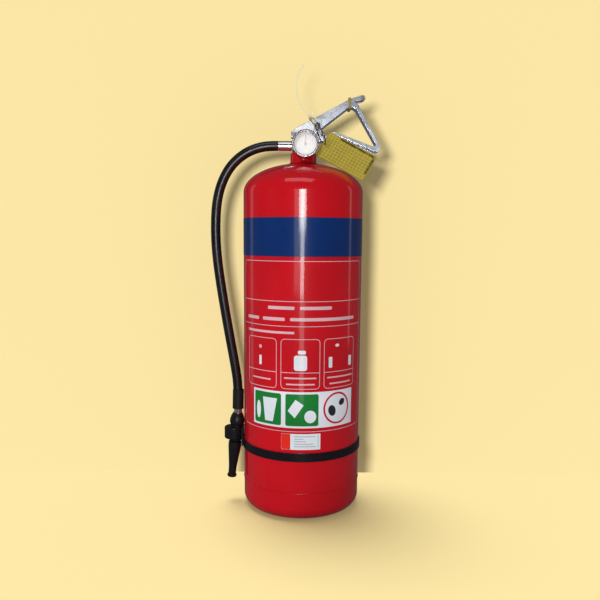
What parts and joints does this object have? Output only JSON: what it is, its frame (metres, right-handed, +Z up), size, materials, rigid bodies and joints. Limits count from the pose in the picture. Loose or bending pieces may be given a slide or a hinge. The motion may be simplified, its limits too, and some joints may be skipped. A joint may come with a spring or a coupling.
{
  "type": "fire extinguisher",
  "caption": "Upright stored-pressure foam fire extinguisher: red steel cylinder, squeeze-grip valve with gauge, closed carry handle, side hose and clipped nozzle.",
  "frame": {"origin": "centre of the ring that the tank stands on, on the floor", "axes": "+Z up along the tank's axis, -Y to the front where the gauge and the label face, +X to the carry handle's side"},
  "size_m": [0.2514, 0.1822, 0.6598],
  "materials": {
    "red_paint": "gloss",
    "bright_chrome": "polished",
    "nickel_brass": "satin",
    "bare_brass": "satin",
    "steel": "satin",
    "black_rubber": "satin",
    "black_plastic": "satin",
    "strap_plastic": "satin",
    "clear_tube": "satin",
    "dial_white": "matte",
    "pointer_black": "matte",
    "window": "gloss",
    "olive_plastic": "satin",
    "tag_plastic": "matte",
    "band_film": "gloss",
    "label_film": "gloss"
  },
  "bodies": {
    "extinguisher": {"blue_band": "band_film", "bourdon_tube": "bare_brass", "carry_handle": "bright_chrome", "date_sticker": "label_film", "dip_tube": "clear_tube", "front_label": "label_film", "gauge_bezel": "bright_chrome", "gauge_case": "steel", "gauge_dial": "dial_white", "gauge_washer": "clear_tube", "gauge_window": "window", "grip_band": "olive_plastic", "handle_screws": "steel", "hose": "black_rubber", "hose_coupling": "nickel_brass", "hose_sleeve": "black_plastic", "jet_plate": "steel", "lever_pivot": "steel", "neck_ring": "red_paint", "neck_seal": "black_rubber", "nozzle_body": "black_plastic", "nozzle_clip": "black_plastic", "nozzle_insert": "bright_chrome", "nozzle_tip": "black_plastic", "outlet_washer": "clear_tube", "stem_seal": "black_rubber", "tamper_seal": "olive_plastic", "tank_base": "red_paint", "tank_shell": "red_paint", "tank_strap": "strap_plastic", "tube_adapter": "black_plastic", "tube_strainer": "black_plastic", "valve_body": "nickel_brass", "valve_spring": "steel"},
    "lever": {"squeeze_lever": "bright_chrome"},
    "stem": {"valve_stem": "bare_brass", "seat_washer": "black_rubber"},
    "needle": {"gauge_pointer": "pointer_black", "gauge_spindle": "bare_brass"},
    "pin": {"safety_pin": "steel"},
    "ring": {"pull_ring": "steel"},
    "tag": {"inspection_tag": "tag_plastic"}
  },
  "joints": [
    {"name": "lever_squeeze", "type": "hinge", "parent": "extinguisher", "child": "lever", "pos_m": [-0.014, 0, 0.5625], "axis": [0, 1, 0], "range_deg": [0, 2.6], "stiffness_Nm_per_rad": 20, "springref_deg": -2.86},
    {"name": "stem_slide", "type": "slide", "parent": "extinguisher", "child": "stem", "axis": [0, 0, -1], "range_m": [0, 0.0009], "deforming": ["valve_spring"]},
    {"name": "gauge_sweep", "type": "hinge", "parent": "extinguisher", "child": "needle", "pos_m": [0.0025, -0.034, 0.5465], "axis": [0, 1, 0], "range_deg": [-65, 65], "stiffness_Nm_per_rad": 0.0005},
    {"name": "pin_pull", "type": "slide", "parent": "extinguisher", "child": "pin", "axis": [0, -1, 0], "range_m": [0, 0.045]},
    {"name": "ring_swing", "type": "hinge", "parent": "pin", "child": "ring", "pos_m": [0.0198, -0.03, 0.57105], "axis": [0.2079, -0.9781, 0], "range_deg": [0, 20]},
    {"name": "tag_swing", "type": "hinge", "parent": "ring", "child": "tag", "pos_m": [0.03104, -0.02772, 0.54578], "axis": [0, -0.9659, 0.2588], "range_deg": [0, 30]}
  ],
  "couplings": [
    {"joint": "stem_slide", "follows": "lever_squeeze", "m_per_rad": 0.01862}
  ]
}
